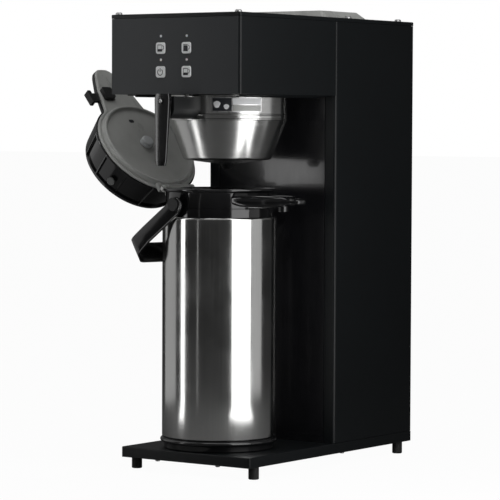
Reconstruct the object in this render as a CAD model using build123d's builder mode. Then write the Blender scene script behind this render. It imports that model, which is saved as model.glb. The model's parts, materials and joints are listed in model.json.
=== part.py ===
"""Commercial coffee brewer: a column machine with a head, a brew basket and a pump airpot.

Everything is in millimetres. The machine's pieces are drawn about the centre of its base plate,
with -Y towards the person using it. The airpot and its lid are drawn in frames of their own and
then set in place. The shared frame's origin is the centre of the whole footprint on the counter.
"""

from build123d import *
from math import cos, radians, sin
import os

os.makedirs("parts", exist_ok=True)

# ---- driving dimensions: machine -------------------------------------------------------------
machine_width = 205.0
base_depth = 382.0
foot_height = 16.0
base_thickness = 13.5
total_height = 588.0
head_bottom = 486.0
head_front = -214.0
column_front = 0.0
sheet = 1.5
gap = 0.4
cover_lip = 5.0

half_width = machine_width / 2
column_back = base_depth / 2
base_top = foot_height + base_thickness
wall_top = total_height - cover_lip - gap
head_depth = column_front - head_front
inner_half = half_width - sheet - gap

# ---- driving dimensions: brew basket -----------------------------------------------------------
basket_y = -99.5
band_radius = 76.6
basket_floor_radius = 58.0
basket_floor = 402.6
band_bottom = 462.0
rim_radius = 80.5
rim_top = head_bottom - 0.2
rim_thickness = 1.2
nozzle_tip = 391.0

# ---- driving dimensions: airpot ----------------------------------------------------------------
pot_y = -116.0
spout_turn = -11.0
body_radius = 74.0
body_bottom = 45.0
body_top = 330.0
collar_top = 366.0
hinge_radius = 81.0
hinge_height = 364.0
bail_height = 346.0
bail_droop = 33.3
lid_angle = 132.0
lid_radius = 73.8
cover_radius = 76.0
cover_height = 45.6
nose_length = 140.0

# ---- frames ------------------------------------------------------------------------------------
# Centre of the whole footprint, measured from the centre of the base plate.
footprint_x = -45.606
footprint_y = -23.425
machine_frame = Location((-footprint_x, -footprint_y, 0))
basket_frame = machine_frame * Location((0, basket_y, 0))
pot_frame = machine_frame * Location((0, pot_y, 0), (0, 0, spout_turn))
bail_frame = pot_frame * Location((0, 0, bail_height), (0, -bail_droop, 0))
lid_frame = pot_frame * Location((-hinge_radius, 0, hinge_height), (0, -lid_angle, 0))


def save(piece, name, frame=machine_frame):
    """Set a finished piece in its place and write it as its own STEP file."""
    placed = piece.part.moved(frame)
    placed.label = name
    export_step(placed, f"parts/{name}.step")


def tube_along(points, bend, outer, inner):
    """A round tube along straight runs joined by bends."""
    with BuildPart() as tube:
        with BuildLine() as route:
            FilletPolyline(*points, radius=bend)
        start = route.line
        with BuildSketch(Plane(origin=start @ 0, z_dir=start % 0)):
            Circle(outer)
            Circle(inner, mode=Mode.SUBTRACT)
        sweep(path=start)
    return tube


# ---- base --------------------------------------------------------------------------------------
foot_radius = 6.75
foot_spacing_x = 187.0
foot_spacing_y = 338.0
stud_radius = 3.0
plate_recess = 1.0

with BuildPart() as base_tray:
    with BuildSketch(Plane.XY.offset(foot_height)):
        RectangleRounded(machine_width, base_depth, 3.0)
    extrude(amount=base_thickness)
    fillet(base_tray.faces().sort_by(Axis.Z)[-1].edges(), 1.2)
    with BuildSketch(Plane.XY.offset(foot_height)):
        RectangleRounded(machine_width - 2 * sheet, base_depth - 2 * sheet, 1.5)
    extrude(amount=base_thickness - sheet, mode=Mode.SUBTRACT)
save(base_tray, "base_tray")

with BuildPart() as base_plate:
    with BuildSketch(Plane.XY.offset(foot_height + plate_recess)):
        RectangleRounded(machine_width - 2 * sheet - gap, base_depth - 2 * sheet - gap, 1.3)
        with GridLocations(foot_spacing_x, foot_spacing_y, 2, 2):
            Circle(stud_radius + 0.2, mode=Mode.SUBTRACT)
    extrude(amount=2 * sheet)
save(base_plate, "base_plate")

with BuildPart() as feet:
    with BuildSketch():
        with GridLocations(foot_spacing_x, foot_spacing_y, 2, 2):
            Circle(foot_radius)
    extrude(amount=foot_height + plate_recess)
    chamfer(feet.faces().sort_by(Axis.Z)[:4].edges(), 0.8)
    with BuildSketch(Plane.XY.offset(foot_height + plate_recess)):
        with GridLocations(foot_spacing_x, foot_spacing_y, 2, 2):
            Circle(stud_radius)
    extrude(amount=2 * sheet + 3.0)
save(feet, "feet")

with BuildPart() as base_screws:
    with BuildSketch(Plane.XY.offset(foot_height - 2.4)):
        with Locations((48, -184), (-48, -184), (95, 30), (-95, 30), (48, 184), (-48, 184)):
            Circle(3.0)
    extrude(amount=2.4 + plate_recess)
    chamfer(base_screws.faces().sort_by(Axis.Z)[:6].edges(), 0.6)
save(base_screws, "base_screws")

# ---- column ------------------------------------------------------------------------------------
flange = 16.0
bend = 3.0


def column_side(side):
    """One folded side of the column: a wide web with a flange turned in at front and back."""
    outer = side * half_width
    with BuildPart() as panel:
        with BuildSketch(Plane.XY.offset(base_top + gap)):
            with BuildLine():
                path = FilletPolyline(
                    (outer - side * flange, column_front + sheet / 2),
                    (outer - side * sheet / 2, column_front + sheet / 2),
                    (outer - side * sheet / 2, column_back - sheet / 2),
                    (outer - side * flange, column_back - sheet / 2),
                    radius=bend,
                )
                offset(path, sheet / 2)
            make_face()
        extrude(amount=wall_top - base_top - gap)
    return panel


save(column_side(-1), "column_side_left")
save(column_side(1), "column_side_right")

front_panel_half = half_width - flange - sheet / 2 - gap
with BuildPart() as column_front_panel:
    with BuildSketch(Plane.XY.offset(base_top + gap)):
        with Locations((0, column_front + sheet / 2)):
            Rectangle(2 * front_panel_half, sheet)
    extrude(amount=head_bottom - base_top - 2 * gap)
save(column_front_panel, "column_front_panel")

louvre_count = 8
louvre_pitch = 11.0
gland_x = 55.0
gland_z = 62.0
gland_radius = 8.0
with BuildPart() as rear_panel:
    with BuildSketch(Plane.XZ.offset(-column_back)):
        with Locations((0, (base_top + wall_top) / 2)):
            Rectangle(2 * front_panel_half, wall_top - base_top - 2 * gap)
        for row in range(louvre_count):
            with Locations((0, 500 - row * louvre_pitch), (0, 200 - row * louvre_pitch)):
                SlotOverall(110, 4.5, mode=Mode.SUBTRACT)
        with Locations((gland_x, gland_z)):
            Circle(gland_radius + 0.1, mode=Mode.SUBTRACT)
    extrude(amount=sheet)
save(rear_panel, "rear_panel")

with BuildPart() as inlet_gland:
    with BuildSketch(Plane.XZ.offset(-column_back)):
        with Locations((gland_x, gland_z)):
            RegularPolygon(13.0, 6)
            Circle(4.5, mode=Mode.SUBTRACT)
    extrude(amount=-6.0)
    with BuildSketch(Plane.XZ.offset(-column_back)):
        with Locations((gland_x, gland_z)):
            Circle(gland_radius)
            Circle(4.5, mode=Mode.SUBTRACT)
    extrude(amount=14.0)
    with BuildSketch(Plane.XZ.offset(-column_back + sheet + gap)):
        with Locations((gland_x, gland_z)):
            RegularPolygon(12.0, 6)
            Circle(gland_radius, mode=Mode.SUBTRACT)
    extrude(amount=4.0)
save(inlet_gland, "inlet_gland")

with BuildPart() as rear_screws:
    with BuildSketch(Plane.XZ.offset(-column_back)):
        with Locations((0, (base_top + wall_top) / 2)):
            with GridLocations(2 * front_panel_half - 16, (wall_top - base_top - 24) / 2, 2, 3):
                Circle(3.4)
    extrude(amount=-2.2)
    fillet(rear_screws.faces().sort_by(Axis.Y)[-6:].edges(), 1.2)
save(rear_screws, "rear_screws")

# ---- head --------------------------------------------------------------------------------------
key_size = 14.4
key_spacing_x = 40.8
key_spacing_z = 30.0
key_centre_x = -1.0
key_centre_z = 529.2
key_clearance = 0.5
light_rise = 15.2
light_radius = 1.7

with BuildPart() as head_shell:
    with BuildSketch(Plane.XY.offset(head_bottom)):
        with BuildLine():
            wrap = FilletPolyline(
                (-half_width + sheet / 2, column_front - gap),
                (-half_width + sheet / 2, head_front + sheet / 2),
                (half_width - sheet / 2, head_front + sheet / 2),
                (half_width - sheet / 2, column_front - gap),
                radius=bend,
            )
            offset(wrap, sheet / 2)
        make_face()
    extrude(amount=wall_top - head_bottom)
    with BuildSketch(Plane.XZ.offset(-head_front)):
        with Locations((key_centre_x, key_centre_z)):
            with GridLocations(key_spacing_x, key_spacing_z, 2, 2):
                RectangleRounded(key_size + key_clearance, key_size + key_clearance, 3.4)
        with Locations((key_centre_x, key_centre_z + light_rise)):
            with GridLocations(key_spacing_x, key_spacing_z, 2, 2):
                Circle(light_radius + 0.1)
    extrude(amount=-2 * sheet, mode=Mode.SUBTRACT)
save(head_shell, "head_shell")

key_names = ["key_lower_left", "key_upper_left", "key_lower_right", "key_upper_right"]
key_spots = GridLocations(key_spacing_x, key_spacing_z, 2, 2)
for key_name, spot in zip(key_names, key_spots):
    key_x = key_centre_x + spot.position.X
    key_z = key_centre_z + spot.position.Y
    with BuildPart() as key:
        with BuildSketch(Plane.XZ.offset(-head_front)):
            with Locations((key_x, key_z)):
                RectangleRounded(key_size, key_size, 3.2)
        extrude(amount=1.4)
        fillet(key.faces().sort_by(Axis.Y)[0].edges(), 0.7)
        with BuildSketch(Plane.XZ.offset(-head_front)):
            with Locations((key_x, key_z)):
                RectangleRounded(key_size, key_size, 3.2)
        extrude(amount=-3.0)
        with BuildSketch(Plane.XZ.offset(-head_front - 3.0)):
            with Locations((key_x, key_z)):
                Circle(3.0)
        extrude(amount=-3.0)
    save(key, key_name)

with BuildPart() as indicator_lights:
    with BuildSketch(Plane.XZ.offset(-head_front + 0.5)):
        with Locations((key_centre_x, key_centre_z + light_rise)):
            with GridLocations(key_spacing_x, key_spacing_z, 2, 2):
                Circle(light_radius)
    extrude(amount=-5.0)
    fillet(indicator_lights.faces().sort_by(Axis.Y)[:4].edges(), 0.8)
save(indicator_lights, "indicator_lights")

board_setback = 8.0
with BuildPart() as control_board:
    with BuildSketch(Plane.XZ.offset(-head_front - board_setback)):
        with Locations((key_centre_x, key_centre_z)):
            Rectangle(90, 78)
            with GridLocations(82, 70, 2, 2):
                Circle(1.6, mode=Mode.SUBTRACT)
    extrude(amount=-1.6)
    with BuildSketch(Plane.XZ.offset(-head_front - board_setback - 1.6)):
        with Locations((-20, 545), (22, 510)):
            Rectangle(26, 18)
    extrude(amount=-12)
save(control_board, "control_board")

spray_radius = 30.0
with BuildPart() as head_floor:
    with BuildSketch(Plane.XY.offset(head_bottom)):
        with Locations((0, (head_front + sheet + column_front) / 2)):
            RectangleRounded(2 * inner_half, head_depth - sheet - 3 * gap, 2.4)
        with Locations((0, basket_y)):
            Circle(spray_radius + 0.3, mode=Mode.SUBTRACT)
    extrude(amount=sheet)
save(head_floor, "head_floor")

rail_length = 176.0
ledge_inner = band_radius + 1.4
web_inner = rim_radius + 1.2


def basket_rail(side):
    """A folded runner: a ledge under the basket's rim, a short web and a flange on the head floor."""
    ledge_top = rim_top - rim_thickness - gap
    with BuildPart() as rail:
        with BuildSketch(Plane.XZ.offset(-basket_y + rail_length / 2)):
            with BuildLine():
                Polyline(
                    (side * ledge_inner, ledge_top),
                    (side * web_inner, ledge_top),
                    (side * web_inner, head_bottom),
                    (side * (web_inner + 14), head_bottom),
                    (side * (web_inner + 14), head_bottom - sheet),
                    (side * (web_inner + sheet), head_bottom - sheet),
                    (side * (web_inner + sheet), ledge_top - sheet),
                    (side * ledge_inner, ledge_top - sheet),
                    close=True,
                )
            make_face()
        extrude(amount=-rail_length)
    return rail


save(basket_rail(-1), "basket_rail_left")
save(basket_rail(1), "basket_rail_right")

with BuildPart() as spray_head:
    with BuildSketch(Plane.XY.offset(head_bottom + 0.3)):
        with Locations((0, basket_y)):
            Circle(spray_radius)
    extrude(amount=10.0)
    with BuildSketch(Plane.XY.offset(head_bottom + 0.3)):
        with Locations((0, basket_y)):
            with PolarLocations(12, 6):
                Circle(1.6)
            with PolarLocations(23, 12):
                Circle(1.6)
    extrude(amount=10.0, mode=Mode.SUBTRACT)
    with BuildSketch(Plane.XY.offset(head_bottom + 10.3)):
        with Locations((0, basket_y)):
            Circle(spray_radius)
            Circle(5.0, mode=Mode.SUBTRACT)
    extrude(amount=4.0)
save(spray_head, "spray_head")

# ---- top cover and fill lid --------------------------------------------------------------------
lid_base_x = 74.0
lid_base_front = 20.0
lid_base_back = 122.0
lid_rise = 11.0
lid_slope = 14.0
fill_x = 50.0
fill_front = 40.0
fill_back = 104.0
fill_centre_y = (fill_front + fill_back) / 2
top_centre_y = (head_front + column_back) / 2
top_length = column_back - head_front

with BuildPart() as top_cover:
    with BuildSketch(Plane.XY.offset(total_height - cover_lip)):
        with Locations((0, top_centre_y)):
            RectangleRounded(machine_width, top_length, bend)
    extrude(amount=cover_lip)
    fillet(top_cover.faces().sort_by(Axis.Z)[-1].edges(), 1.4)
    with BuildSketch(Plane.XY.offset(total_height - cover_lip)):
        with Locations((0, top_centre_y)):
            RectangleRounded(machine_width - 2 * sheet, top_length - 2 * sheet, 1.6)
    extrude(amount=cover_lip - sheet, mode=Mode.SUBTRACT)
    with BuildSketch(Plane.XY.offset(total_height - cover_lip)):
        with Locations((0, fill_centre_y)):
            RectangleRounded(2 * fill_x, fill_back - fill_front, 8)
    extrude(amount=cover_lip, mode=Mode.SUBTRACT)
save(top_cover, "top_cover")

top_screw_ys = [-207.0, 40.0, 162.0]
with BuildPart() as top_screws:
    with BuildSketch(Plane.XY.offset(total_height)):
        for screw_y in top_screw_ys:
            with Locations((-94.5, screw_y), (94.5, screw_y)):
                Circle(4.4)
    extrude(amount=3.0)
    fillet(top_screws.faces().sort_by(Axis.Z)[-6:].edges(), 2.2)
save(top_screws, "top_screws")

lid_centre_y = (lid_base_front + lid_base_back) / 2
lid_base_y = lid_base_back - lid_base_front
lid_top_x = lid_base_x - lid_slope
lid_top_y = lid_base_y - lid_slope
hinge_y = lid_base_back + 4.6
hinge_z = total_height + 4.4
with BuildPart() as fill_lid:
    with BuildSketch(Plane.XY.offset(total_height + gap)):
        with Locations((0, lid_centre_y)):
            RectangleRounded(2 * lid_base_x, lid_base_y, 6)
    with BuildSketch(Plane.XY.offset(total_height + lid_rise)):
        with Locations((0, lid_centre_y)):
            RectangleRounded(2 * lid_top_x, lid_top_y, 4)
    loft()
    with BuildSketch(Plane.XY.offset(total_height + gap)):
        with Locations((0, lid_centre_y)):
            RectangleRounded(2 * lid_base_x - 8, lid_base_y - 10, 5)
    with BuildSketch(Plane.XY.offset(total_height + lid_rise - 2.5)):
        with Locations((0, lid_centre_y)):
            RectangleRounded(2 * lid_top_x - 6, lid_top_y - 10, 3)
    loft(mode=Mode.SUBTRACT)
    with BuildSketch(Plane.XY.offset(total_height + 1)):
        with Locations((26, lid_centre_y)):
            with GridLocations(6, 0, 9, 1):
                SlotOverall(70, 3.0, rotation=90)
    extrude(amount=lid_rise, mode=Mode.SUBTRACT)
    with BuildSketch(Plane.YZ.offset(-20)):
        with Locations((hinge_y, hinge_z)):
            Circle(3.8)
    extrude(amount=40)
    with BuildSketch(Plane.YZ.offset(-20)):
        with Locations((lid_base_back - 0.6, hinge_z)):
            Rectangle(9.0, 4.0)
    extrude(amount=40)
    with BuildSketch(Plane.YZ.offset(-20)):
        with Locations((hinge_y, hinge_z)):
            Circle(1.55)
    extrude(amount=40, mode=Mode.SUBTRACT)
save(fill_lid, "fill_lid")

with BuildPart() as fill_lid_hinge:
    with BuildSketch(Plane.YZ.offset(-29)):
        with Locations((hinge_y, hinge_z)):
            Circle(1.5)
    extrude(amount=58)
    for ear_x in (-29, 21):
        with BuildSketch(Plane.YZ.offset(ear_x)):
            with Locations((hinge_y, hinge_z)):
                Circle(3.8)
            with Locations((hinge_y, total_height + 2.2)):
                Rectangle(7.6, 4.4)
        extrude(amount=8)
save(fill_lid_hinge, "fill_lid_hinge")

with BuildPart() as fill_funnel:
    with BuildSketch(Plane.XY.offset(total_height - sheet)):
        with Locations((0, fill_centre_y)):
            RectangleRounded(2 * fill_x - 0.8, fill_back - fill_front - 0.8, 7.6)
    with BuildSketch(Plane.XY.offset(total_height - 60)):
        with Locations((0, fill_centre_y)):
            RectangleRounded(34, 34, 12)
    loft()
    with BuildSketch(Plane.XY.offset(total_height - sheet)):
        with Locations((0, fill_centre_y)):
            RectangleRounded(2 * fill_x - 4.8, fill_back - fill_front - 4.8, 5.6)
    with BuildSketch(Plane.XY.offset(total_height - 60)):
        with Locations((0, fill_centre_y)):
            RectangleRounded(30, 30, 10)
    loft(mode=Mode.SUBTRACT)
save(fill_funnel, "fill_funnel")

# ---- inside the column -------------------------------------------------------------------------
tank_y = 96.0
tank_radius = 66.0
tank_bottom = 250.0
tank_top = 505.0
tank_wall = 1.5
tank_chamfer = 12.0
with BuildPart() as water_tank:
    with BuildSketch(Plane.XZ.offset(-tank_y)):
        with BuildLine():
            Polyline(
                (0, tank_bottom),
                (tank_radius - tank_chamfer, tank_bottom),
                (tank_radius, tank_bottom + tank_chamfer),
                (tank_radius, tank_top - tank_chamfer),
                (tank_radius - tank_chamfer, tank_top),
                (16, tank_top),
                (16, tank_top - tank_wall),
                (tank_radius - tank_chamfer - 1, tank_top - tank_wall),
                (tank_radius - tank_wall, tank_top - tank_chamfer - 1),
                (tank_radius - tank_wall, tank_bottom + tank_chamfer + 1),
                (tank_radius - tank_chamfer - 1, tank_bottom + tank_wall),
                (0, tank_bottom + tank_wall),
                close=True,
            )
        make_face()
    revolve(axis=Axis((0, tank_y, 0), (0, 0, 1)))
save(water_tank, "water_tank")

element_radius = 42.0
with BuildPart() as heating_element:
    with BuildSketch(Plane.XZ.offset(-tank_y)):
        with Locations((element_radius, tank_bottom + 30)):
            Circle(5)
    revolve(axis=Axis((0, tank_y, 0), (0, 0, 1)))
save(heating_element, "heating_element")

with BuildPart() as thermostat:
    with BuildSketch(Plane.XZ.offset(-tank_y + tank_radius + 0.5)):
        with Locations((0, tank_bottom + 60)):
            Circle(9)
    extrude(amount=8)
save(thermostat, "thermostat")

with BuildPart() as water_pump:
    with BuildSketch(Plane.XY.offset(base_top + 8)):
        with Locations((-30, 120)):
            RectangleRounded(62, 74, 8)
    extrude(amount=66)
    fillet(water_pump.faces().sort_by(Axis.Z)[-1].edges(), 6)
    with BuildSketch(Plane.XY.offset(base_top)):
        with Locations((-30, 120)):
            with GridLocations(48, 60, 2, 2):
                Circle(5)
    extrude(amount=8)
save(water_pump, "water_pump")

hose_points = [(-30, 120, base_top + 74.5), (-30, 120, 165), (-30, 96, 205), (-30, 96, tank_bottom - 0.5)]
save(tube_along(hose_points, 18, 5.0, 3.4), "pump_hose")
spray_points = [(0, 20, 522), (0, 20, 545), (0, basket_y, 545), (0, basket_y, head_bottom + 15)]
save(tube_along(spray_points, 14, 5.0, 3.4), "spray_hose")

# ---- brew basket -------------------------------------------------------------------------------
basket_wall = 1.2
bead_radius = 1.3
with BuildPart() as basket_shell:
    with BuildSketch(Plane.XZ):
        with BuildLine():
            Polyline(
                (0, 397.0),
                (12, 397.0),
                (basket_floor_radius - 5, basket_floor - 0.6),
                (basket_floor_radius, basket_floor + 4),
                (band_radius, band_bottom - 9.0),
                (band_radius, rim_top - rim_thickness),
                (rim_radius, rim_top - rim_thickness),
                (rim_radius, rim_top),
                (band_radius - basket_wall, rim_top),
                (band_radius - basket_wall, band_bottom - 9.0),
                (basket_floor_radius - basket_wall, basket_floor + 4.6),
                (basket_floor_radius - 5 - basket_wall, basket_floor + 0.9),
                (12, 398.4),
                (0, 398.4),
                close=True,
            )
        make_face()
        with Locations((band_radius, band_bottom - 1.5), (band_radius, band_bottom - 7.5)):
            Circle(bead_radius)
        with BuildLine():
            Polyline((0, 396), (4, 396), (4, 399), (0, 399), close=True)
        make_face(mode=Mode.SUBTRACT)
    revolve(axis=Axis.Z)
    floor_rim = basket_shell.edges().filter_by(GeomType.CIRCLE).filter_by_position(
        Axis.Z, basket_floor + 3.9, basket_floor + 4.1
    )
    fillet(floor_rim, 3.0)
save(basket_shell, "basket_shell", basket_frame)

with BuildPart() as basket_nozzle:
    with BuildSketch(Plane.XZ):
        with BuildLine():
            Polyline((2.5, nozzle_tip), (5.5, nozzle_tip), (9, 396.8), (2.5, 396.8), close=True)
        make_face()
    revolve(axis=Axis.Z)
    with BuildSketch(Plane.XY.offset(396.8)):
        Circle(3.8)
        Circle(2.5, mode=Mode.SUBTRACT)
    extrude(amount=4.0)
save(basket_nozzle, "basket_nozzle", basket_frame)

rack_levels = [(30.0, 402.2), (53.0, 413.0), (64.0, 442.0)]
wire_inset = 2.7
with BuildPart() as rack_wire:
    with BuildLine(Plane.XZ) as wire_line:
        Polyline(*[(radius - wire_inset, z) for radius, z in rack_levels])
    with BuildSketch(Plane(origin=wire_line.line @ 0, z_dir=wire_line.line % 0)):
        Circle(1.0)
    sweep(path=wire_line.line, transition=Transition.ROUND)
with BuildPart() as filter_rack:
    for ring_radius, ring_z in rack_levels:
        with BuildSketch(Plane.XZ):
            with Locations((ring_radius, ring_z)):
                Circle(1.2)
        revolve(axis=Axis.Z)
    with PolarLocations(0, 10):
        add(rack_wire.part)
save(filter_rack, "filter_rack", basket_frame)

boss_width = 26.0
boss_bottom = 455.0
boss_shoulder = 468.0
boss_top = 483.0
boss_front = -132.0
with BuildPart() as handle_boss:
    with BuildSketch(Plane.XZ.offset(-boss_front)):
        with BuildLine():
            Polyline(
                (-boss_width / 2, boss_shoulder),
                (-boss_width / 2, boss_top),
                (boss_width / 2, boss_top),
                (boss_width / 2, boss_shoulder),
            )
            ThreePointArc(
                (boss_width / 2, boss_shoulder),
                (0, boss_bottom),
                (-boss_width / 2, boss_shoulder),
            )
        make_face()
    extrude(amount=boss_front + band_radius - 12)
    with BuildSketch(Plane.XY.offset(boss_bottom - 5)):
        Circle(band_radius + 0.02)
    extrude(amount=boss_top - boss_bottom + 10, mode=Mode.SUBTRACT)
    with BuildSketch(Plane.XY.offset(boss_bottom - 5)):
        Circle(band_radius + bead_radius + 0.3)
    extrude(amount=13, mode=Mode.SUBTRACT)
save(handle_boss, "handle_boss", basket_frame)

grip_top = 484.0
grip_bottom = 395.6
with BuildPart() as basket_handle:
    with BuildSketch(Plane.XY.offset(grip_bottom)):
        with Locations((0, -141.6)):
            RectangleRounded(16.5, 5.5, 1.5)
    with BuildSketch(Plane.XY.offset(grip_top)):
        with Locations((0, -136.7)):
            RectangleRounded(24, 9.0, 1.5)
    loft()
    with BuildSketch(Plane.XZ.offset(146)):
        with Locations((0, 477)):
            Circle(3.6)
    extrude(amount=-8.5, mode=Mode.SUBTRACT)
save(basket_handle, "basket_handle", basket_frame)

with BuildPart() as handle_screw:
    with BuildSketch(Plane.XZ.offset(139.0)):
        with Locations((0, 477)):
            Circle(3.3)
    extrude(amount=-1.4)
save(handle_screw, "handle_screw", basket_frame)

label_start = -70.0
label_sweep = 51.0
with BuildPart() as basket_label:
    with BuildSketch(Plane.XZ):
        with Locations((band_radius + 0.35, 473.0)):
            Rectangle(0.5, 20.0)
    revolve(axis=Axis.Z, revolution_arc=label_sweep)
basket_label.part = basket_label.part.moved(Location((0, 0, 0), (0, 0, label_start)))
save(basket_label, "basket_label", basket_frame)

# ---- airpot body, in its own frame: +X towards the spout -----------------------------------------
pot_floor = base_top + 0.3
with BuildPart() as airpot_foot_ring:
    with BuildSketch(Plane.XZ):
        with BuildLine():
            Polyline(
                (60, pot_floor),
                (71.5, pot_floor),
                (71.5, 37),
                (76, 38.5),
                (76, 43),
                (74.6, body_bottom - 0.05),
                (40, body_bottom - 0.05),
                (40, 41),
                (60, 41),
                close=True,
            )
        make_face()
    revolve(axis=Axis.Z)
save(airpot_foot_ring, "airpot_foot_ring", pot_frame)

shell_wall = 0.8
with BuildPart() as airpot_shell:
    with BuildSketch(Plane.XZ):
        with BuildLine():
            Polyline(
                (0, body_bottom),
                (body_radius, body_bottom),
                (body_radius, body_top - 3),
                (body_radius - 3, body_top),
                (body_radius - 3 - shell_wall, body_top - 0.4),
                (body_radius - shell_wall, body_top - 3.6),
                (body_radius - shell_wall, body_bottom + shell_wall),
                (0, body_bottom + shell_wall),
                close=True,
            )
        make_face()
    revolve(axis=Axis.Z)
save(airpot_shell, "airpot_shell", pot_frame)

liner_radius = 64.0
neck_radius = 33.0
with BuildPart() as airpot_liner:
    with BuildSketch(Plane.XZ):
        with BuildLine():
            Polyline(
                (0, 52),
                (liner_radius - 8, 52),
                (liner_radius, 60),
                (liner_radius, 280),
                (neck_radius, 308),
                (neck_radius, 328),
                (neck_radius - 1, 328),
                (neck_radius - 1, 307.5),
                (liner_radius - 1, 279.5),
                (liner_radius - 1, 60.5),
                (liner_radius - 8.4, 53),
                (0, 53),
                close=True,
            )
        make_face()
    revolve(axis=Axis.Z)
save(airpot_liner, "airpot_liner", pot_frame)

with BuildPart() as mouth_gasket:
    with BuildSketch(Plane.XZ):
        with BuildLine():
            Polyline((32, 328.1), (37, 328.1), (37, 331.8), (32, 331.8), close=True)
        make_face()
    revolve(axis=Axis.Z)
save(mouth_gasket, "mouth_gasket", pot_frame)

tube_x = 22.0
tube_z = 350.0
with BuildPart() as airpot_collar:
    with BuildSketch(Plane.XZ):
        with BuildLine():
            Polyline(
                (32, 332),
                (66, 332),
                (66, 322),
                (69.8, 322),
                (69.8, 361),
                (72.5, 362),
                (72.5, collar_top - 1),
                (71.5, collar_top),
                (55, collar_top),
                (52, collar_top - 3),
                (33, 338),
                (32, 336),
                close=True,
            )
        make_face()
    revolve(axis=Axis.Z)
    with BuildSketch(Plane.YZ):
        with Locations((0, tube_z)):
            Circle(5.3)
    extrude(amount=80, mode=Mode.SUBTRACT)
    with BuildSketch(Plane.XZ.offset(60)):
        with Locations((0, bail_height)):
            Circle(4.0)
    extrude(amount=14, mode=Mode.SUBTRACT)
    with BuildSketch(Plane.XZ.offset(-60)):
        with Locations((0, bail_height)):
            Circle(4.0)
    extrude(amount=-14, mode=Mode.SUBTRACT)
save(airpot_collar, "airpot_collar", pot_frame)

dip_points = [(tube_x, 0, 60), (tube_x, 0, tube_z), (72.6, 0, tube_z)]
save(tube_along(dip_points, 12, 5.0, 4.0), "dip_tube", pot_frame)

spout_tip = 152.0
outlet_x = 118.0
spout_top = 358.0
spout_bottom = 342.5
collar_radius = 69.8
spout_plan = [(50, -37), (72, -35), (100, -27), (124, -17), (130, -11), (spout_tip, -8)]
with BuildPart() as airpot_spout:
    with BuildSketch(Plane.XY.offset(spout_bottom)):
        Polygon(*spout_plan, *[(x, -y) for x, y in reversed(spout_plan)], align=None)
    extrude(amount=spout_top - spout_bottom)
    with BuildSketch(Plane.XZ.offset(-40)):
        Polygon((60, 370), (60, spout_top), (110, spout_top), (160, 353), (160, 370), align=None)
        Polygon(
            (60, 335),
            (60, 345),
            (80, 342.4),
            (110, 342.4),
            (128, 346.5),
            (160, 346.5),
            (160, 335),
            align=None,
        )
    extrude(amount=80, mode=Mode.SUBTRACT)
    with BuildSketch(Plane.XY.offset(spout_bottom - 10)):
        Circle(collar_radius + 0.3)
    extrude(amount=40, mode=Mode.SUBTRACT)
    with BuildSketch(Plane.XY.offset(tube_z)):
        with Locations((outlet_x, 0)):
            Circle(6.0)
    extrude(amount=-12)
    with BuildSketch(Plane.YZ.offset(collar_radius)):
        with Locations((0, tube_z)):
            Circle(5.2)
    extrude(amount=outlet_x + 4 - collar_radius, mode=Mode.SUBTRACT)
    with BuildSketch(Plane.XY.offset(tube_z)):
        with Locations((outlet_x, 0)):
            Circle(3.6)
    extrude(amount=-20, mode=Mode.SUBTRACT)
save(airpot_spout, "airpot_spout", pot_frame)

pin_radius = 2.5
fit_clearance = 0.05
bracket_half = 17.5
bracket_seat = 70.2
with BuildPart() as hinge_bracket:
    with BuildSketch(Plane.XZ.offset(-bracket_half)):
        with BuildLine():
            Polyline(
                (-bracket_seat, 336),
                (-75, 336),
                (-87, 356),
                (-87, hinge_height),
                (-75.5, hinge_height),
                (-73.2, 359.5),
                (-bracket_seat, 359.5),
                close=True,
            )
        make_face()
        with Locations((-hinge_radius, hinge_height)):
            Circle(5.2)
            Circle(pin_radius + fit_clearance, mode=Mode.SUBTRACT)
    extrude(amount=2 * bracket_half)
save(hinge_bracket, "hinge_bracket", pot_frame)

with BuildPart() as lid_hinge_pin:
    with BuildSketch(Plane.XZ.offset(-28.5)):
        with Locations((-hinge_radius, hinge_height)):
            Circle(pin_radius)
    extrude(amount=57)
save(lid_hinge_pin, "lid_hinge_pin", pot_frame)

arm_inner = 75.4
arm_thickness = 4.4
with BuildPart() as bail_pivots:
    for side in (-1, 1):
        with BuildSketch(Plane.XZ.offset(side * (arm_inner + arm_thickness + 0.3))):
            with Locations((0, bail_height)):
                Circle(8.5)
        extrude(amount=side * 2.6)
        with BuildSketch(Plane.XZ.offset(side * 62)):
            with Locations((0, bail_height)):
                Circle(3.95)
        extrude(amount=side * (arm_inner + arm_thickness + 0.3 - 62))
save(bail_pivots, "bail_pivots", pot_frame)

# ---- bail handle, in the plane of its two arms: -X from the pivots to the grip -------------------
bail_reach = 107.0
bail_bend = 18.0
strap_low = -13.0
strap_width = 22.0
grip_width = 26.0
bail_half = arm_inner + arm_thickness / 2
with BuildPart() as bail_handle:
    with BuildSketch(Plane.XY.offset(strap_low)):
        with BuildLine():
            hoop = FilletPolyline(
                (0, -bail_half),
                (-bail_reach, -bail_half),
                (-bail_reach, bail_half),
                (0, bail_half),
                radius=bail_bend,
            )
            offset(hoop, arm_thickness / 2)
        make_face()
    extrude(amount=strap_width)
    for side in (-1, 1):
        with BuildSketch(Plane.XZ.offset(side * arm_inner)):
            Circle(10)
        extrude(amount=side * arm_thickness)
        with BuildSketch(Plane.XZ.offset(side * arm_inner)):
            Circle(4.0)
        extrude(amount=side * arm_thickness, mode=Mode.SUBTRACT)
    with BuildSketch(Plane.YZ.offset(-bail_reach - arm_thickness / 2 - 0.6)):
        with Locations((0, strap_low + strap_width / 2 - 1.5)):
            RectangleRounded(2 * (bail_half - bail_bend), grip_width, 6)
    extrude(amount=arm_thickness + 1.2)
save(bail_handle, "bail_handle", bail_frame)

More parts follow.
